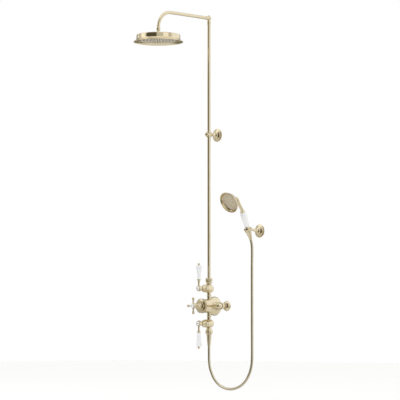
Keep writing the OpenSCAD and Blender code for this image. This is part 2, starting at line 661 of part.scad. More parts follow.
// The route stays near the plane Y = -52, so the across direction is taken from +Y
function hose_ring(i) = let (d = heading(i), side = unit(cross(d, [0, 1, 0])), up = cross(side, d))
    [for (k = [0:hose_sides - 1]) let (a = 360 * k / hose_sides)
        hose_line[i] + hose_d / 2 * (cos(a) * side + sin(a) * up)];
module hose_tube() color(brass) polyhedron(
    points = [for (i = [0:last]) each hose_ring(i)],
    faces = concat(
        [[for (k = [0:hose_sides - 1]) k]],
        [[for (k = [hose_sides - 1:-1:0]) last * hose_sides + k]],
        [for (i = [0:last - 1]) for (k = [0:hose_sides - 1])
            let (a = i * hose_sides + k, b = i * hose_sides + (k + 1) % hose_sides)
            [a, a + hose_sides, b + hose_sides, b]]));

inlet_wall_flanges();
inlet_tails();
inlet_union_nuts();
inlet_check_valves();
union_washers();
valve_body();
link_sleeves();
o_rings();
thermostat_cartridge();
front_ring();
temperature_dial();
upper_flow_body();
lower_flow_body();
disc_cartridges();
control_bonnets();
riser_union_nut();
riser_olive();
riser_tube();
swivel_post();
elbow_cap();
bracket_wall_plates();
bracket_flanges();
bracket_wall_screws();
riser_clamp();
clamp_screw();
holder_cup();
hose_outlet_collar();
hose_valve_cone();
hose_tube();
thermostat_spindle();
cross_handle();
cross_cap();
cross_screw();
upper_spindle();
upper_lever_arm();
upper_lever_porcelain();
upper_lever_finial();
upper_index_disc();
lower_spindle();
lower_lever_arm();
lower_lever_porcelain();
lower_lever_finial();
lower_index_disc();
arm_elbow();
arm_tube();
rose_union_nut();
swivel_ball();
ball_seat();
rose_socket();
rose_shell();
rose_spray_plate();
rose_nozzles();
handset_bell();
handset_bezel();
handset_spray_plate();
handset_nozzles();
handset_neck();
handset_ferrules();
handset_grip();
hose_cone_nut();
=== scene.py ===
import json
import math

import bmesh
import bpy
from mathutils import Matrix, Vector


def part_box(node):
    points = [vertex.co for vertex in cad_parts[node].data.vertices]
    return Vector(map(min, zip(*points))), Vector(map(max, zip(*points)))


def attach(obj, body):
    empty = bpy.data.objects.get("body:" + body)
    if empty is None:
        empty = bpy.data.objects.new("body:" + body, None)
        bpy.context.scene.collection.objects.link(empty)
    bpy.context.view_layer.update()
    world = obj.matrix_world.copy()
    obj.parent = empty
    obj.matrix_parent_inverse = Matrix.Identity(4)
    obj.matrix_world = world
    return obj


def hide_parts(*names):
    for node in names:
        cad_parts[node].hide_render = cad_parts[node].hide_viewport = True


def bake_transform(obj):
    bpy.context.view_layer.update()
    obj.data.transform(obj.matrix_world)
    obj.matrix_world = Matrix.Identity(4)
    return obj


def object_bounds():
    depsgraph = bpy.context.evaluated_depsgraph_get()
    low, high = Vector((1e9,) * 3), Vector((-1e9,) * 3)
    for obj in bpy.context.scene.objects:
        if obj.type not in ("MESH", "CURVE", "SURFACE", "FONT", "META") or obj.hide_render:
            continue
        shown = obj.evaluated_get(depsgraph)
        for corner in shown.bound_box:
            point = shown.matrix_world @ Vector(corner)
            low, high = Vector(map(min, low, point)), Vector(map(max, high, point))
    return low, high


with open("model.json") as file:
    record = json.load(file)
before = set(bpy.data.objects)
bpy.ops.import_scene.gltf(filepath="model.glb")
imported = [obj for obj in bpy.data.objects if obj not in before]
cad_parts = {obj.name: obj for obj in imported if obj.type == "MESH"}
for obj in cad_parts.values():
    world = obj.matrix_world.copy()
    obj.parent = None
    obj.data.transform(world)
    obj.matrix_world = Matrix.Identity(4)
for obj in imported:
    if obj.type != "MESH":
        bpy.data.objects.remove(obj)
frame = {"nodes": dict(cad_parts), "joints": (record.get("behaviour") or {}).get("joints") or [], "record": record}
cad_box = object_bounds()
MM = 0.001

# ---------------------------------------------------------------- places, from the frame and from given numbers


def mid(node):
    lo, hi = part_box(node)
    return (lo + hi) / 2


RISER = mid("riser_tube")                        # the riser's axis
TAIL_R = 0.0128                                  # the widest part of an inlet tail
INLET = Vector((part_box("inlet_tails")[1].x - TAIL_R, 0, 0))
CONTROL = mid("upper_spindle").z                 # height of the flow controls
LEVER_OUT = -mid("upper_lever_porcelain").y
turn = next(j for j in frame["joints"] if j["name"] == "temperature_turn")
CROSS_OUT = -turn["pos_m"][1]                    # the plane of the cross handle's arms
CLAMP = mid("clamp_screw")
PLATE_R = 0.022                                  # a bracket's wall plate
HOLDER = Vector((mid("holder_cup").x, 0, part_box("bracket_wall_plates")[0].z + PLATE_R))
lift = next(j for j in frame["joints"] if j["name"] == "handset_lift")
GRIP_AXIS = Vector(lift["axis"]).normalized()
TILT = math.atan2(-GRIP_AXIS.y, GRIP_AXIS.z)
FOOT = Vector((0.280, -0.060, 0.304))            # the hose's last point, at the cone nut's foot
DIP = math.radians(28)                           # how far the handset's face looks down
ROSE = mid("rose_shell")
ROSE_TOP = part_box("rose_shell")[1].z
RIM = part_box("rose_shell")[0].z


def out_of_wall(x, z):
    """Local +Z points out of the wall, and local Y points up."""
    return Matrix.Translation((x, 0, z)) @ Matrix.Rotation(math.pi / 2, 4, "X")


def upright(x, y, z=0.0):
    return Matrix.Translation((x, y, z))


DOWNWARD = Matrix.Diagonal((1, 1, -1, 1))        # turns a control or a fitting upside down
GRIP = Matrix.Translation(FOOT) @ Matrix.Rotation(TILT, 4, "X")
FACE_TURN = Matrix.Rotation(-math.pi / 2 + DIP, 4, "X")
PLATE_DEPTH = 0.0129                             # from the handset's origin to its spray plate
FACE = Matrix.Translation(mid("handset_spray_plate")) @ FACE_TURN @ upright(0, 0, -PLATE_DEPTH)

# ---------------------------------------------------------------- mesh helpers


def rounded(outline, fillet):
    """The outline with each inner corner rounded. A point may carry its own fillet as a third number."""
    points = [tuple(p[:2]) for p in outline]
    made = []
    for i, p in enumerate(points):
        f = outline[i][2] if len(outline[i]) > 2 else fillet
        if i in (0, len(points) - 1) or f <= 0:
            made.append(p)
            continue
        a, b, c = Vector(points[i - 1]), Vector(p), Vector(points[i + 1])
        la, lc = (a - b).length, (c - b).length
        turn = (b - a).angle(c - b) if la > 1e-6 and lc > 1e-6 else 0
        if turn < 0.06:
            made.append(p)
            continue
        cut = min(f, la * 0.45, lc * 0.45)
        start, end = b + (a - b).normalized() * cut, b + (c - b).normalized() * cut
        steps = max(2, min(6, int(turn / 0.3) + 1))
        for k in range(steps + 1):
            t = k / steps
            q = start * (1 - t) ** 2 + b * 2 * t * (1 - t) + end * t * t
            made.append((q.x, q.y))
    return made


def flowing(points, steps=5):
    """A Catmull-Rom curve through points of any dimension, as a list."""
    got = []
    vs = [Vector(p) for p in points]
    for i in range(len(vs) - 1):
        a, b, c, d = vs[max(0, i - 1)], vs[i], vs[i + 1], vs[min(len(vs) - 1, i + 2)]
        for k in range(steps):
            t = k / steps
            got.append(0.5 * (2 * b + (c - a) * t + (2 * a - 5 * b + 4 * c - d) * t * t
                              + (3 * b - a - 3 * c + d) * t ** 3))
    got.append(vs[-1])
    return [tuple(v) for v in got]


def turn_on(bm, outline, place, sides=72, shape=None):
    """Turns an outline of (radius, height) in mm round the place's Z. shape(angle, r, z) may change r."""
    rings = []
    for r, z in outline:
        if r < 1e-4:
            rings.append([bm.verts.new(place @ Vector((0, 0, z * MM)))])
            continue
        ring = []
        for k in range(sides):
            a = 2 * math.pi * k / sides
            q = shape(a, r, z) if shape else r
            ring.append(bm.verts.new(place @ Vector((q * math.cos(a) * MM, q * math.sin(a) * MM, z * MM))))
        rings.append(ring)
    for low, high in zip(rings, rings[1:]):
        if len(low) == 1 and len(high) == 1:
            continue
        for k in range(sides):
            m = (k + 1) % sides
            if len(low) == 1:
                bm.faces.new((low[0], high[k], high[m]))
            elif len(high) == 1:
                bm.faces.new((low[k], high[0], low[m]))
            else:
                bm.faces.new((low[k], high[k], high[m], low[m]))
    if len(rings[0]) > 1 and len(rings[-1]) > 1:     # with no end on the axis, the ends meet along the bore
        for k in range(sides):
            m = (k + 1) % sides
            bm.faces.new((rings[-1][k], rings[0][k], rings[0][m], rings[-1][m]))


def tube_on(bm, line, radii, sides=32):
    """Sweeps round rings along points in metres. radii is one number or one for each point, in metres."""
    pts = [Vector(p) for p in line]
    n = len(pts)
    side, rings = None, []
    for i, p in enumerate(pts):
        d = (pts[min(n - 1, i + 1)] - pts[max(0, i - 1)]).normalized()
        if side is None:
            side = d.orthogonal().normalized()
        side = (side - d * side.dot(d)).normalized()
        up = d.cross(side)
        r = radii[i] if isinstance(radii, (list, tuple)) else radii
        rings.append([bm.verts.new(p + (math.cos(2 * math.pi * k / sides) * side
                                        + math.sin(2 * math.pi * k / sides) * up) * r) for k in range(sides)])
    for low, high in zip(rings, rings[1:]):
        for k in range(sides):
            m = (k + 1) % sides
            bm.faces.new((low[k], low[m], high[m], high[k]))
    bm.faces.new(rings[0])
    bm.faces.new(rings[-1])


def finish_piece(bm, name, body, material, nodes=(), sharp=38):
    bmesh.ops.recalc_face_normals(bm, faces=bm.faces[:])
    mesh = bpy.data.meshes.new(name)
    bm.to_mesh(mesh)
    bm.free()
    for polygon in mesh.polygons:
        polygon.use_smooth = True
    mesh.set_sharp_from_angle(angle=math.radians(sharp))
    piece = bpy.data.objects.new(name, mesh)
    bpy.context.scene.collection.objects.link(piece)
    mesh.materials.append(material)
    if body:
        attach(piece, body)
    if nodes:
        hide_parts(*nodes)
    return piece


def turned(name, outline, places, body, material, nodes, sides=72, fillet=0.6, shape=None):
    """One piece of turned solids: the same outline at each place."""
    bm = bmesh.new()
    for place in places:
        turn_on(bm, rounded(outline, fillet), place, sides, shape)
    finish_piece(bm, name, body, material, nodes)


# ---------------------------------------------------------------- materials


def new_material(name):
    m = bpy.data.materials.new(name)
    m.use_nodes = True
    nt = m.node_tree
    shader = nt.nodes["Principled BSDF"]
    where = nt.nodes.new("ShaderNodeTexCoord")
    return m, nt, shader, where.outputs["Object"]


def noise(nt, where, scale, detail=3.0, rough=0.55):
    n = nt.nodes.new("ShaderNodeTexNoise")
    n.inputs["Scale"].default_value = scale
    n.inputs["Detail"].default_value = detail
    n.inputs["Roughness"].default_value = rough
    nt.links.new(where, n.inputs["Vector"])
    return n.outputs["Fac"]


def ramp(nt, value, stops):
    r = nt.nodes.new("ShaderNodeValToRGB")
    while len(r.color_ramp.elements) < len(stops):
        r.color_ramp.elements.new(0.5)
    for e, (at, colour) in zip(r.color_ramp.elements, stops):
        e.position = at
        e.color = (*colour, 1)
    nt.links.new(value, r.inputs["Fac"])
    return r.outputs["Color"]


def between(nt, value, low, high):
    r = nt.nodes.new("ShaderNodeMapRange")
    r.inputs["From Min"].default_value = 0.3
    r.inputs["From Max"].default_value = 0.7
    r.inputs["To Min"].default_value = low
    r.inputs["To Max"].default_value = high
    nt.links.new(value, r.inputs["Value"])
    return r.outputs["Result"]


def blend_colours(nt, factor, a, b, kind):
    m = nt.nodes.new("ShaderNodeMix")
    m.data_type = "RGBA"
    m.blend_type = kind
    m.inputs[0].default_value = factor
    for socket, c in ((m.inputs[6], a), (m.inputs[7], b)):
        if isinstance(c, tuple):
            socket.default_value = (*c, 1)
        else:
            nt.links.new(c, socket)
    return m.outputs[2]


def bumps(nt, shader, height, strength, distance):
    b = nt.nodes.new("ShaderNodeBump")
    b.inputs["Strength"].default_value = strength
    b.inputs["Distance"].default_value = distance
    nt.links.new(height, b.inputs["Height"])
    nt.links.new(b.outputs["Normal"], shader.inputs["Normal"])


def metal(name, light, dark, rough, grain=0.0):
    """Plated or lacquered brass: cloudy tone, finger-soft roughness, a fine grain and tiny specks."""
    m, nt, s, where = new_material(name)
    clouds = noise(nt, where, 22, 4, 0.6)
    fine = noise(nt, where, 900, 2, 0.5)
    tone = ramp(nt, clouds, [(0.28, dark), (0.62, light)])
    specks = ramp(nt, noise(nt, where, 420, 3, 0.7), [(0.66, (1, 1, 1)), (0.8, (0.82, 0.76, 0.66))])
    nt.links.new(blend_colours(nt, 0.35, tone, specks, "MULTIPLY"), s.inputs["Base Color"])
    s.inputs["Metallic"].default_value = 1.0
    soft = between(nt, noise(nt, where, 60, 4, 0.65), rough * 0.75, rough * 1.35)
    nt.links.new(soft, s.inputs["Roughness"])
    bumps(nt, s, fine, 0.02 + grain, 0.0001)
    return m


def glaze(name, tint):
    """White glazed porcelain: thick clear glaze with a faint waviness over a warm white body."""
    m, nt, s, where = new_material(name)
    body = ramp(nt, noise(nt, where, 35, 3, 0.5), [(0.3, tint), (0.7, (0.82, 0.82, 0.825))])
    specks = ramp(nt, noise(nt, where, 700, 2, 0.6), [(0.7, (1, 1, 1)), (0.82, (0.95, 0.94, 0.92))])
    nt.links.new(blend_colours(nt, 0.4, body, specks, "MULTIPLY"), s.inputs["Base Color"])
    nt.links.new(between(nt, noise(nt, where, 90, 3), 0.12, 0.22), s.inputs["Roughness"])
    s.inputs["Coat Weight"].default_value = 0.6
    s.inputs["Coat Roughness"].default_value = 0.05
    bumps(nt, s, noise(nt, where, 120, 2), 0.08, 0.0004)
    return m


def soft_part(name, light, dark, rough, scale=300):
    """Rubber, silicone or moulded plastic: a faint mottle with a fine moulded grain."""
    m, nt, s, where = new_material(name)
    nt.links.new(ramp(nt, noise(nt, where, 60, 3), [(0.3, dark), (0.7, light)]), s.inputs["Base Color"])
    nt.links.new(between(nt, noise(nt, where, scale, 3), rough * 0.85, rough * 1.15), s.inputs["Roughness"])
    bumps(nt, s, noise(nt, where, scale * 3, 2), 0.15, 0.0002)
    return m


BRASS = metal("pale_brass", (0.84, 0.745, 0.555), (0.80, 0.70, 0.50), 0.12)
HOSE_METAL = metal("hose_brass", (0.74, 0.68, 0.54), (0.68, 0.61, 0.46), 0.18, grain=0.02)
SPRAY = metal("spray_brass", (0.77, 0.67, 0.50), (0.69, 0.595, 0.43), 0.34, grain=0.04)
KNURL = metal("knurled_brass", (0.66, 0.55, 0.37), (0.52, 0.42, 0.27), 0.22, grain=0.06)
PLAIN = metal("plain_brass", (0.62, 0.48, 0.27), (0.50, 0.37, 0.19), 0.34, grain=0.12)
STEEL = metal("plated_steel", (0.66, 0.66, 0.66), (0.54, 0.54, 0.55), 0.28, grain=0.08)
PORCELAIN = glaze("white_porcelain", (0.76, 0.76, 0.775))
NOZZLE = soft_part("nozzle_silicone", (0.82, 0.81, 0.77), (0.66, 0.65, 0.62), 0.5, 400)
RUBBER = soft_part("black_rubber", (0.035, 0.035, 0.035), (0.018, 0.018, 0.018), 0.6, 250)
PLASTIC = soft_part("moulded_plastic", (0.80, 0.79, 0.75), (0.70, 0.69, 0.66), 0.4, 200)
INK = soft_part("index_ink", (0.05, 0.045, 0.04), (0.03, 0.03, 0.028), 0.35, 300)
OF_SLOT = {"brass": BRASS, "hose_metal": HOSE_METAL, "spray_brass": SPRAY, "knurled_brass": KNURL,
           "plain_brass": PLAIN, "steel": STEEL, "porcelain": PORCELAIN, "nozzle_rubber": NOZZLE,
           "rubber": RUBBER, "plastic": PLASTIC}

# ---------------------------------------------------------------- camera

camera = bpy.data.objects.new("camera", bpy.data.cameras.new("camera"))
bpy.context.scene.collection.objects.link(camera)
camera.data.sensor_width = 36
camera.data.lens = 183.5
camera.data.clip_end = 200
camera.location = (6.879, -6.758, -0.150)
camera.rotation_euler = (math.radians(90 + 3.872), 0, math.radians(46))
bpy.context.scene.camera = camera

# ---------------------------------------------------------------- the hose

ROUTE = [
    (0, -56, -187), (0, -56, -205), (0, -56, -230), (1, -56, -258), (6, -56, -288), (18, -55, -318),
    (38, -55, -346), (66, -54, -369), (100, -54, -382), (138, -53, -387), (176, -53, -382),
    (211, -52, -368), (240, -52, -345), (261, -52, -316), (274, -52, -284), (279, -52, -252),
    (280, -52, -215), (280, -52, -160), (280, -52, -90), (280, -52, -20), (280, -52, 50),
    (280, -52, 120), (280, -52, 180), (280, -51, 225), (280, -51, 255), (280, -53, 280),
    (280, -60, 304)]
PITCH = 0.0034                                   # one turn of the wound sheath
HOSE_R = 0.00625


def evenly(points, step):
    """The same line at equal steps."""
    vs = [Vector(p) for p in points]
    along = [0.0]
    for a, b in zip(vs, vs[1:]):
        along.append(along[-1] + (b - a).length)
    n = round(along[-1] / step)
    got, j = [], 0
    for i in range(n + 1):
        s = along[-1] * i / n
        while j < len(along) - 2 and along[j + 1] < s:
            j += 1
        t = (s - along[j]) / (along[j + 1] - along[j])
        got.append(vs[j].lerp(vs[j + 1], t))
    return got, along[-1]


hose_line, hose_length = evenly([Vector(p) * MM for p in flowing(ROUTE, 12)], PITCH / 5)
RIB = (0.0, 0.00009, 0.00013, 0.00009, 0.0)      # a rounded rib, then the groove to the next
hose_radii = [HOSE_R - 0.0002 + RIB[i % 5] for i in range(len(hose_line))]
bm = bmesh.new()
tube_on(bm, hose_line, hose_radii, 20)
hose = finish_piece(bm, "hose_sheath", None, HOSE_METAL, ["hose_tube"], 60)
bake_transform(hose)

# ---------------------------------------------------------------- shapes that repeat


def knurl(low, high, count, depth):
    """Ribs between two heights, for turn_on's shape."""
    def shape(a, r, z):
        if not low < z < high:
            return r
        fade = min(1.0, (z - low) / 0.8, (high - z) / 0.8)
        return r + depth * fade * (abs(math.sin(count * a / 2)) - 0.5)
    return shape


def rows(r, low, high, step):
    """Closely spaced outline points at one radius, for a knurled band."""
    n = max(2, round((high - low) / step))
    return [(r, low + (high - low) * i / n, 0) for i in range(n + 1)]


def ball_end(r, z, start, step):
    """The outline of a ball at height z, from start degrees against its middle up to its top on the axis."""
    angles = [math.radians(start + step * i) for i in range(10)]
    return [(r * math.cos(t), z + r * math.sin(t)) for t in angles] + [(0, z + r)]


WALL_INLETS = [out_of_wall(side * INLET.x, 0) for side in (-1, 1)]
WALL_BRACKETS = [out_of_wall(0, CLAMP.z), out_of_wall(HOLDER.x, HOLDER.z)]
AT_RISER = upright(RISER.x, RISER.y)
UPPER = upright(0, 0, CONTROL)
LOWER = DOWNWARD @ UPPER
WALL = out_of_wall(0, 0)
FLAT = Matrix.Rotation(math.pi / 2, 4, "X")

# ---------------------------------------------------------------- inlets and thermostat body

turned("inlet_domes", [(7.9, 0), (23.4, 0, 0.4), (24, 0.8, 0.6), (24, 2.2, 1), (23.2, 3.2, 0.6),
                       (22.9, 5.2, 2), (21.4, 8.8, 3), (18.9, 11.8, 3), (15.6, 14.4, 3), (12, 16, 2),
                       (10.6, 16.3, 0.4), (10.3, 17.4, 0.6), (9.4, 18, 0.4), (7.9, 18)], WALL_INLETS,
       "root", BRASS, ["inlet_wall_flanges"], 96)
turned("inlet_nuts", [(7.8, 33), (13, 33, 0.3), (14.6, 33.9, 0.5), (15.9, 35.3, 0.5)]
       + rows(15.9, 36, 42.8, 0.4)
       + [(15.9, 43.5, 0.5), (14.8, 44.7, 0.4), (13.2, 44.8), (13.2, 35.2), (7.8, 35)],
       WALL_INLETS, "root", BRASS, ["inlet_union_nuts"], 168, shape=knurl(35.9, 42.9, 28, 0.9))
turned("knurled_ring", [(29.3, 100), (33.2, 100, 0.4), (34, 101.2, 0.5), (33.4, 102.6, 0.3)]
       + rows(33.5, 103, 109, 0.4)
       + [(33.4, 109.4, 0.3), (34, 110.6, 0.5), (33, 112, 0.5), (29.3, 112)],
       [WALL], "root", KNURL, ["front_ring"], 288, shape=knurl(102.9, 109.1, 48, 1.3))

bm = bmesh.new()
turn_on(bm, rounded([(0, 111.4), (13.4, 111.4), (15, 111.6), (15.2, 115.6), (20, 116.3, 0.6),
                     (22, 115.9, 0.5), (27, 114.9, 1), (31.2, 113.4, 1), (32.3, 112.2, 0.5),
                     (29.1, 111.9, 0.3), (29.1, 104), (27, 103.6), (0, 103.6)], 0.5), WALL, 120)
for i in range(-4, 5):                           # the raised marks of the temperature scale
    a = math.pi / 2 + i * math.radians(30)
    tall = 3.4 if i in (-4, 0, 4) else 2.2
    spot = WALL @ Matrix.Rotation(a, 4, "Z") @ Matrix.Translation((0.0252, 0, 0.1152))
    bmesh.ops.create_cube(bm, size=1.0, matrix=spot @ Matrix.Rotation(math.radians(13), 4, "Y")
                          @ Matrix.Diagonal((tall * MM, 0.9 * MM, 1.0 * MM, 1)))
finish_piece(bm, "temperature_scale", "root", BRASS, ["temperature_dial"])

# the cross handle: a turned hub, four baluster arms and their balls
ARM = [(0, 6)] + flowing([(5.6, 6.5), (5.3, 9), (4.3, 13), (3.5, 18), (3.3, 22), (3.5, 24.6)], 4) \
    + [(5.0, 25.4), (5.2, 26.4), (5.0, 27.4), (3.2, 28.2)] + ball_end(6.3, 33.5, -56, 14.6)
HUB = ([(4.7, 116.8), (13.6, 116.8, 0.4), (14.4, 117.8, 0.6), (14.0, 119.2, 0.6)]
       + flowing([(13.0, 120.2), (12.0, 124), (11.4, 130), (11.1, 138), (10.9, 144.5)], 4)
       + [(12.0, 146.0, 0.4), (12.0, 147.6, 0.4), (11.0, 148.6, 0.4)]
       + flowing([(11.4, 150), (12.6, 153), (13.1, 158), (12.7, 162), (11.7, 164.4)], 4)
       + [(10.4, 165, 0.4), (9.3, 165, 0), (9.3, 163.2, 0), (4.7, 163.2)])
bm = bmesh.new()
turn_on(bm, rounded(HUB, 0.3), WALL, 96)
for quarter in range(4):
    spoke = Matrix.Rotation(quarter * math.pi / 2, 4, "Z") @ Matrix.Rotation(math.pi / 2, 4, "Y")
    turn_on(bm, ARM, WALL @ Matrix.Translation((0, 0, CROSS_OUT)) @ spoke, 48)
finish_piece(bm, "cross_handle_turned", "temperature_control", BRASS, ["cross_handle"])
bm = bmesh.new()
turn_on(bm, rounded([(0, 164.8), (9, 164.8), (10.1, 165.3, 0.3), (10.2, 166.8, 0.8), (8.9, 168.6, 1.2),
                     (5, 169.7, 2), (0, 170)], 0.4), WALL, 72)
finish_piece(bm, "cross_button", "temperature_control", PORCELAIN, ["cross_cap"])
bm = bmesh.new()
turn_on(bm, [(0, 169.6), (2.3, 169.6), (2.1, 170.05), (0, 170.1)], WALL, 40)
finish_piece(bm, "cross_button_dot", "temperature_control", INK)

# ---------------------------------------------------------------- levers

TOOTH = ([(0, 41.9), (7.2, 41.9, 0.3)]
         + flowing([(8.0, 42.8), (8.1, 44.6), (7.55, 48), (7.45, 53), (7.8, 61), (8.7, 71), (10.1, 81),
                    (11.9, 91), (13.0, 97), (13.1, 101), (12.1, 105), (9.6, 107.2), (5.6, 107.9)], 5)
         + [(0, 108)])
NECK = [(0, 6)] + flowing([(6.4, 8), (5.4, 11.5), (4.4, 16), (4.0, 22), (4.1, 28), (4.5, 31.4)], 4) \
    + [(5.6, 32.2), (5.9, 33.4), (5.6, 34.6), (4.5, 35.4), (5.2, 36.6), (7.4, 37.6), (8.9, 39.2), (9.1, 40.4),
       (8.8, 41.9), (0, 41.9)]
LEVER_HUB = ([(4.1, -18.4), (6.6, -18.4, 0.4), (7.1, -17.6, 0.4), (7.1, -11, 1)]
             + flowing([(7.6, -9.6), (9.6, -7.8), (12.2, -6.4), (13.5, -4.6)], 4)
             + [(13.75, -3, 0.4), (13.75, 3, 0.6), (13.2, 4.6, 0.8), (12.4, 5.8, 0.5), (10.2, 6.0, 0.3),
                (9.3, 5.4, 0), (9.3, 4, 0), (4.1, 4)])
BALL = [(0, 107), (4.1, 107.8), (4.3, 108.4), (4.3, 109.0), (3.2, 109.6)] + ball_end(5.3, 113.7, -52, 14.2)
DISC = [(0, 4.2), (8.9, 4.2), (9.1, 4.8, 0.2), (9.1, 6.4, 0.4), (8.0, 7.3, 0.6), (3.6, 7.85, 0.6), (0, 7.9)]
DOT = [(0, 7.5), (2.5, 7.5), (2.3, 8.0), (0, 8.1)]
for word, place in (("upper", UPPER), ("lower", LOWER)):
    lever = place @ Matrix.Translation((0, -LEVER_OUT, 0))
    body = word + "_lever"
    turned(word + "_lever_handle", TOOTH, [lever], body, PORCELAIN,
           [word + "_lever_porcelain"], 72)
    turned(word + "_lever_ball", BALL, [lever], body, BRASS, [word + "_lever_finial"], 48, 0.2)
    bm = bmesh.new()
    turn_on(bm, rounded(NECK, 0.3), lever, 56)
    turn_on(bm, rounded(LEVER_HUB, 0.3), lever @ FLAT, 80)
    finish_piece(bm, word + "_lever_neck", body, BRASS, [word + "_lever_arm"])
    turned(word + "_index", DISC, [lever @ FLAT], body, PORCELAIN, [word + "_index_disc"], 64)
    turned(word + "_index_dot", DOT, [lever @ FLAT], body, INK, [], 32)

BONNET = [(0, 87.1), (17.2, 87.1, 0.3), (17.6, 87.8, 0.3)] + flowing(
    [(17.5, 89), (15.6, 91.2), (13.2, 94.4), (11.2, 97.8), (9.9, 100.6)], 4) + [
    (9.9, 101.4, 0.3), (9.9, 102.9, 0.3), (9.0, 103.2), (0, 103.2)]
turned("bonnets", BONNET, [place @ FLAT for place in (UPPER, LOWER)], "root", BRASS,
       ["control_bonnets"], 88)

# ---------------------------------------------------------------- riser fittings

turned("riser_nut", [(7.7, 101.4), (11.2, 101.4, 0.3), (11.7, 102, 0.4), (11.7, 103.6, 1.2),
                     (13.2, 108.6, 2.5), (15.2, 112.6, 1.5), (15.9, 115.6, 0.8)]
       + rows(15.9, 117.4, 128.4, 0.5) + [(15.9, 129, 0.4), (14.8, 131.2, 0.6), (13.4, 131.6, 0.4),
                                          (8.6, 131.6, 0.2), (7.7, 131)], [AT_RISER], "root", BRASS,
       ["riser_union_nut"], 168, shape=knurl(117.3, 128.5, 28, 0.9))
turned("riser_post_collar", [(0, 1335.2), (8.1, 1335.2, 0.3), (8.7, 1336.4, 0.4), (8.7, 1343.4, 0.4),
                             (8.2, 1344.8, 0.3), (6, 1345), (6, 1372), (0, 1372)], [AT_RISER], "root",
       BRASS, ["swivel_post"], 64)
turned("elbow_button", [(0, 1374.4), (2.4, 1374.4), (2.4, 1375.3), (5.4, 1375.3, 0.2), (5.6, 1376, 0.3),
                        (4.6, 1377.5, 0.8), (2, 1378.5, 0.8), (0, 1378.7)], [AT_RISER], "root", BRASS,
       ["elbow_cap"], 48)
turned("hose_collar", [(9.7, 104.4), (11.6, 104.4, 0.3), (12.2, 105.6, 0.5), (12.6, 107.6, 1),
                       (14.8, 110.8, 1.5), (16.6, 114.4, 1.2), (17, 117, 0.8), (17, 118.6, 0.4),
                       (16.4, 119.3, 0.4), (17, 120, 0.4), (17, 126.6, 0.8), (16, 129, 0.8),
                       (13.4, 130.6, 0.4), (9.7, 130.6)], [AT_RISER @ DOWNWARD], "root", BRASS,
       ["hose_outlet_collar"], 96)
turned("hose_cone", [(0, 124), (9.3, 124), (9.3, 130.8), (11.8, 130.8, 0.3), (12.7, 132, 0.5),
                     (12.6, 134, 0.5), (11.8, 136, 0.6)]
       + flowing([(11.4, 138), (10.9, 147), (9.9, 160), (8.4, 174), (7.6, 183)], 4)
       + [(7.9, 184.4, 0.3), (7.9, 186.4, 0.3), (7.3, 187), (0, 187)],
       [AT_RISER @ DOWNWARD], "root", BRASS, ["hose_valve_cone"], 72)

# ---------------------------------------------------------------- wall brackets

turned("bracket_roses", [(9.3, 3.4), (9.3, 0.4), (30.2, 0, 0), (31, 0.7, 0.4), (31, 1.9, 0.6),
                         (29.8, 3.1, 0.8), (27, 3.9, 1.5), (23.6, 4.6, 0.5), (22.8, 5.6, 0.4),
                         (22.4, 7.2, 0.8), (20.4, 8.8, 1.2), (16.4, 10.2, 1.8), (13.8, 12.2, 1.5),
                         (12.9, 14.6, 0.8), (12.6, 16, 0.3), (9.3, 16)], WALL_BRACKETS, "root", BRASS,
       ["bracket_flanges"], 112)
turned("clamp_button", [(0, 66), (2.9, 66), (2.9, 69.4), (9.1, 69.4, 0.3), (10.2, 70.2, 0.4),
                        (10.4, 71.6, 0.5), (9.8, 73.6, 0.8), (7.8, 75.8, 1.2), (4.6, 77.4, 1),
                        (1.6, 78, 0.4), (0, 78)], [out_of_wall(0, CLAMP.z)], "root", BRASS,
       ["clamp_screw"], 64)

# ---------------------------------------------------------------- overhead arm and rose

PIPE_R = 0.0075
ARM_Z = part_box("arm_tube")[1].z - PIPE_R
START = -0.0715                                  # where the pipe leaves the elbow, out of the wall
DROP_END = 0.0819                                # how far the pipe comes down, into the rose's nut
BEND = 0.078
REACH = ROSE.y + BEND                            # where the straight ends and the bend begins
line = [(0, START + (REACH - START) * i / 12, ARM_Z) for i in range(12)]
line += [(0, REACH - BEND * math.sin(t), ARM_Z - BEND + BEND * math.cos(t))
         for t in [math.radians(90 * i / 40) for i in range(41)]]
line += [(0, ROSE.y, ARM_Z - BEND - 0.002), (0, ROSE.y, ARM_Z - DROP_END)]
bm = bmesh.new()
tube_on(bm, line, PIPE_R, 48)
finish_piece(bm, "arm_pipe", "arm", BRASS, ["arm_tube"])

ball_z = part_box("rose_union_nut")[0].z / MM - 9.4     # the middle of the rose's ball, under the nut
turned("rose_nut", [(6.2, ball_z + 9.5), (8.0, ball_z + 9.5, 0.3), (8.9, ball_z + 10.6, 0.5),
                    (8.9, ball_z + 12.4, 0.3), (8.5, ball_z + 13, 0.3), (8.9, ball_z + 13.6, 0.3),
                    (8.9, ball_z + 20.6, 0.5), (9.5, ball_z + 21.6, 0.3), (9.5, ball_z + 22.6, 0.3),
                    (8.8, ball_z + 23.9, 0.4), (7.7, ball_z + 24)], [upright(ROSE.x, ROSE.y)], "arm", BRASS,
       ["rose_union_nut"], 80)

top, rim = ROSE_TOP / MM, RIM / MM               # the rose's two ends, in mm
SHELL = [(9.1, top - 0.1), (60, top - 0.4, 0), (98, top - 1.5, 3), (100.6, top - 2.6, 2.5),
         (101.3, top - 5, 2), (101.5, top - 9, 1), (101.5, rim + 14.4, 1), (102.6, rim + 11.6, 2.5),
         (106.8, rim + 7.9, 3), (111.6, rim + 5.0, 2), (114.1, rim + 3.4, 0.8), (115, rim + 1.9, 0.7),
         (114.6, rim + 0.5, 0.5), (113.4, rim + 0.2, 0.4), (112.8, rim + 1.6, 0.5), (106, rim + 6.2, 2),
         (97.7, rim + 9.6, 0.5), (97.7, rim + 26), (60, top - 2.1), (9.1, top - 2.1)]
turned("rose_bowl", SHELL, [upright(ROSE.x, ROSE.y)], "rose", BRASS, ["rose_shell"], 192, 0.5)


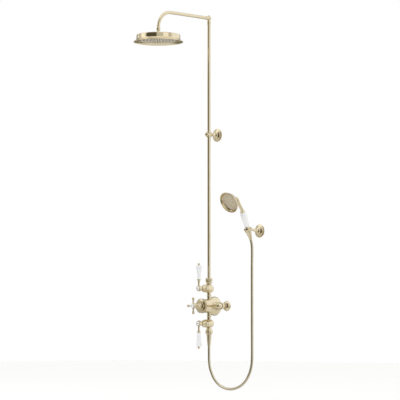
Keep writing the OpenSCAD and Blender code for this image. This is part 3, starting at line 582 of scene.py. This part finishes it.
def nozzles(bm, rings, step, per, base, tip, wide, lie):
    """Tapered nubs with a hole in the end, in rings. lie turns the plate's frame."""
    nub = [(0, base), (wide * 1.25, base), (wide * 1.1, base + (tip - base) * 0.18),
           (wide * 0.86, base + (tip - base) * 0.72), (wide * 0.72, tip), (wide * 0.36, tip),
           (wide * 0.30, tip - (tip - base) * 0.3), (0, tip - (tip - base) * 0.3)]
    for ring in range(rings + 1):
        count = 1 if ring == 0 else per * ring
        for k in range(count):
            a = 2 * math.pi * k / count
            out = ring * step * MM
            turn_on(bm, nub, lie @ Matrix.Translation((out * math.cos(a), out * math.sin(a), 0)), 12)


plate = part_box("rose_spray_plate")[0].z / MM + 1.6   # the flat face, above the ring that stands proud
turned("rose_plate", [(0, plate), (84, plate, 0), (90.2, plate, 0.6), (90.8, plate - 1.6, 0.5),
                      (92.6, plate - 1.6, 0.5), (93.2, plate, 0.6), (96.6, plate, 0.3),
                      (97.2, plate + 0.4, 0.2), (97.2, plate + 2), (0, plate + 2)],
       [upright(ROSE.x, ROSE.y)], "rose", SPRAY, ["rose_spray_plate"], 160, 0.4)
bm = bmesh.new()
nozzles(bm, 5, 15.5, 8, -plate - 0.05, -plate + 2.7, 2.0, upright(ROSE.x, ROSE.y) @ DOWNWARD)
finish_piece(bm, "rose_nubs", "rose", NOZZLE, ["rose_nozzles"])

# ---------------------------------------------------------------- handset

BELL = ([(0, 51.6)] + flowing([(3.5, 51.3), (7.6, 49.8), (11.2, 46.8), (14.4, 43.2), (20, 37.9), (27, 31.9),
                               (34, 26), (40.6, 19.8), (45.4, 13.9), (48.8, 9), (50.4, 6.2)], 4)
        + [(51, 5.2, 0.5), (51, 2.9, 0.6), (50.2, 1.5, 0.5), (49.2, 1.3, 0.3), (48.7, 2.2, 0)]
        + [(48.7, 8.1), (43.9, 13.3), (42, 15.6), (37.5, 20.5), (31, 26.5), (24, 32.3), (17, 38), (8, 43),
           (0, 44)])
turned("handset_dome", BELL, [FACE], "handset", BRASS, ["handset_bell"], 144, 0.5)
turned("handset_ring", [(48.6, 1.0), (47.9, 1.0, 0.3), (47.2, 2.4, 0.8), (44.6, 9.6, 2), (43.3, 11.4, 0.6),
                        (42.9, 11.9, 0.3), (42.9, 13.6), (43.6, 13.7), (48.6, 8.2)],
       [FACE], "handset", BRASS, ["handset_bezel"], 144, 0.3)
turned("handset_plate", [(0, 12.1), (8, 12), (36, 12, 0), (38.8, 12, 0.3), (39.2, 13.3, 0.2),
                         (41.2, 13.3, 0.2), (41.6, 12, 0.3), (42.8, 12), (42.8, 13.7), (0, 13.7)], [FACE],
       "handset", SPRAY, ["handset_spray_plate"], 128, 0.2)
bm = bmesh.new()
nozzles(bm, 4, 9, 8, -12.15, -10.5, 1.35, FACE @ DOWNWARD)
finish_piece(bm, "handset_nubs", "handset", NOZZLE, ["handset_nozzles"])

KNUCKLE = 0.146                                  # up the grip's axis, where the neck bends back
NECK_TURN = math.radians(14)
knuckle = GRIP @ Vector((0, 0, KNUCKLE))
lean = TILT + NECK_TURN
way = Vector((0, -math.sin(lean), math.cos(lean)))
neck = [(*(GRIP @ Vector((0, 0, 0.1405))), 7.5), (*(GRIP @ Vector((0, 0, 0.1435))), 7.6)]
SWELL = [(1, 7.6), (10, 7.45), (22, 7.5), (33, 8.0), (42, 9.2), (50, 10.5), (57, 11.0), (62, 10.2), (66, 7.6),
         (68.6, 3.2), (69, 0.6)]                 # (along the neck from the knuckle, radius)
neck += [(*(knuckle + way * at * MM), r) for at, r in SWELL]
neck = flowing(neck, 4)
bm = bmesh.new()
tube_on(bm, [p[:3] for p in neck], [p[3] * MM for p in neck], 48)
turn_on(bm, rounded([(5.7, 53), (12.3, 53, 0.3), (12.6, 53.6, 0.3), (12.3, 54.4, 0.3), (5.7, 54.5)], 0.3),
        GRIP, 72)
finish_piece(bm, "handset_stem", "handset", BRASS, ["handset_neck"])
bm = bmesh.new()
turn_on(bm, rounded([(5.8, 54.6), (13.4, 54.6, 0.4), (14, 55.8, 0.5), (13.4, 57, 0.5), (12, 58, 0.5),
                     (11, 60, 0.5), (10.8, 61.9, 0.2), (5.8, 61.9)], 0.3), GRIP, 72)
turn_on(bm, rounded([(5.8, 134.1), (11.8, 134.1, 0.3), (12.6, 135.2, 0.5), (12.4, 136.4, 0.5),
                     (11.2, 137.4, 0.4), (9.6, 138.6, 0.6), (8.9, 140.4, 0.4), (8.2, 141), (5.8, 141)],
                    0.3), GRIP, 72)
finish_piece(bm, "grip_collars", "handset", BRASS, ["handset_ferrules"])
HANDLE = ([(5.9, 62), (9.4, 62, 0.3)]
          + flowing([(10.0, 62.6), (10.4, 65), (10.9, 70), (11.6, 78), (12.5, 89), (13.4, 101), (13.95, 112),
                     (13.9, 120), (13.2, 127), (11.9, 132), (10.6, 133.8)], 5)
          + [(9.9, 134, 0.2), (5.9, 134)])
turned("grip_porcelain", HANDLE, [GRIP], "handset", PORCELAIN, ["handset_grip"], 80, 0.3)
turned("hose_nut", [(0, 0.05), (6.9, 0.05, 0.3), (7.4, 1, 0.4), (7.5, 2.6, 0.4), (7.8, 4, 0.8)]
       + flowing([(8.1, 7), (9.0, 15), (10.1, 22.6), (11.7, 29.6), (13.2, 38), (14.7, 47)], 3)
       + [(15.5, 52, 0.4), (15.2, 52.9, 0.3), (10.2, 53), (10.2, 42), (0, 42)],
       [GRIP], "handset", BRASS, ["hose_cone_nut"], 80, 0.3)

# ---------------------------------------------------------------- the CAD nodes that stay

slots = {p["node"]: p["material_slot"] for p in frame["record"]["subparts"]}
for name, node in frame["nodes"].items():
    node.data.materials.clear()
    node.data.materials.append(OF_SLOT[slots[name]])
    for polygon in node.data.polygons:
        polygon.use_smooth = True
        polygon.material_index = 0

# ---------------------------------------------------------------- floor, light and world

floor_z = cad_box[0].z - 0.06
bm = bmesh.new()
bmesh.ops.create_grid(bm, x_segments=24, y_segments=24, size=14, matrix=Matrix.Translation((0, -2, floor_z)))
mesh = bpy.data.meshes.new("floor")
bm.to_mesh(mesh)
bm.free()
floor = bpy.data.objects.new("floor", mesh)
bpy.context.scene.collection.objects.link(floor)
floor.visible_glossy = False                     # polished metal reflects the studio below the horizon too
pale, nt, shader, where = new_material("pale_floor")
nt.links.new(ramp(nt, noise(nt, where, 1.5, 3), [(0.3, (0.955, 0.955, 0.95)), (0.7, (0.965, 0.965, 0.96))]),
             shader.inputs["Base Color"])
nt.links.new(between(nt, noise(nt, where, 8), 0.75, 0.9), shader.inputs["Roughness"])
shader.inputs["Specular IOR Level"].default_value = 0.1
mesh.materials.append(pale)

world = bpy.data.worlds.new("studio")
bpy.context.scene.world = world
world.use_nodes = True
nt = world.node_tree
nt.nodes.clear()
place = nt.nodes.new("ShaderNodeTexCoord")
split = nt.nodes.new("ShaderNodeSeparateXYZ")
nt.links.new(place.outputs["Generated"], split.inputs[0])


def maths(kind, a, b=0.0, c=0.0):
    m = nt.nodes.new("ShaderNodeMath")
    m.operation = kind
    for socket, value in zip(m.inputs, (a, b, c)):
        if isinstance(value, (int, float)):
            socket.default_value = value
        else:
            nt.links.new(value, socket)
    return m.outputs[0]


# compass angle of a direction, 0 in front of the wall and growing to the right, in degrees
front = maths("MULTIPLY", split.outputs[1], -1.0)
compass = maths("MULTIPLY", maths("ARCTAN2", split.outputs[0], front), math.degrees(1))
FADE = 0.15                                      # how far a panel's top and foot take to fade


def panel(middle, half, soft, low=-0.75, high=0.8):
    """1 inside an upright panel of the studio and 0 outside it, with soft edges."""
    away = maths("ABSOLUTE", maths("SUBTRACT", compass, middle))
    across = maths("MULTIPLY_ADD", away, -1 / soft, (half + soft) / soft)
    up = maths("MULTIPLY_ADD", split.outputs[2], 1 / FADE, -low / FADE)
    down = maths("MULTIPLY_ADD", split.outputs[2], -1 / FADE, high / FADE)
    clamp = [maths("MAXIMUM", maths("MINIMUM", x, 1.0), 0.0) for x in (across, up, down)]
    return maths("MULTIPLY", maths("MULTIPLY", clamp[0], clamp[1]), clamp[2])


dark = maths("MULTIPLY", panel(5, 28, 7, -0.6, 0.9), 0.93)
dark = maths("ADD", dark, maths("MULTIPLY", panel(-46, 26, 12, -0.6), 0.36))
dark = maths("ADD", dark, maths("MULTIPLY", panel(76, 40, 12), 0.3))
dark = maths("ADD", dark, maths("MULTIPLY", panel(-128, 24, 14), 0.66))
room = maths("MULTIPLY_ADD", split.outputs[2], 0.16, 0.97)
level = maths("MAXIMUM", maths("SUBTRACT", room, dark), 0.05)
tone = ramp(nt, level, [(0.0, (0.04, 0.034, 0.016)), (0.4, (0.33, 0.31, 0.25)), (0.75, (0.66, 0.645, 0.59)),
                         (1.0, (1.0, 1.0, 0.98))])


def glow(colour, strength):
    shade = nt.nodes.new("ShaderNodeBackground")
    shade.inputs["Strength"].default_value = strength
    if isinstance(colour, tuple):
        shade.inputs["Color"].default_value = colour
    else:
        nt.links.new(colour, shade.inputs["Color"])
    return shade.outputs[0]


rays = nt.nodes.new("ShaderNodeLightPath")
out = nt.nodes.new("ShaderNodeOutputWorld")
# reflections see the panels, while the lens and matt surfaces see white
last = glow(tone, 1.0)
for kind, strength in (("Is Diffuse Ray", 1.06), ("Is Camera Ray", 1.0)):
    mix = nt.nodes.new("ShaderNodeMixShader")
    nt.links.new(rays.outputs[kind], mix.inputs["Fac"])
    nt.links.new(last, mix.inputs[1])
    nt.links.new(glow((1, 1, 1, 1), strength), mix.inputs[2])
    last = mix.outputs[0]
nt.links.new(last, out.inputs["Surface"])


def softbox(name, at, aim, wide, tall, power):
    data = bpy.data.lights.new(name, "AREA")
    data.shape = "RECTANGLE"
    data.size, data.size_y, data.energy = wide, tall, power
    light = bpy.data.objects.new(name, data)
    bpy.context.scene.collection.objects.link(light)
    light.location = at
    light.rotation_euler = (Vector(aim) - Vector(at)).to_track_quat("-Z", "Y").to_euler()


softbox("key", (-2.4, -3.4, 3.2), (0, -0.1, 0.5), 3.0, 3.4, 20)
softbox("fill", (4.2, -0.6, 1.6), (0, -0.1, 0.4), 2.0, 3.0, 9)
bpy.context.scene.view_settings.view_transform = "Standard"
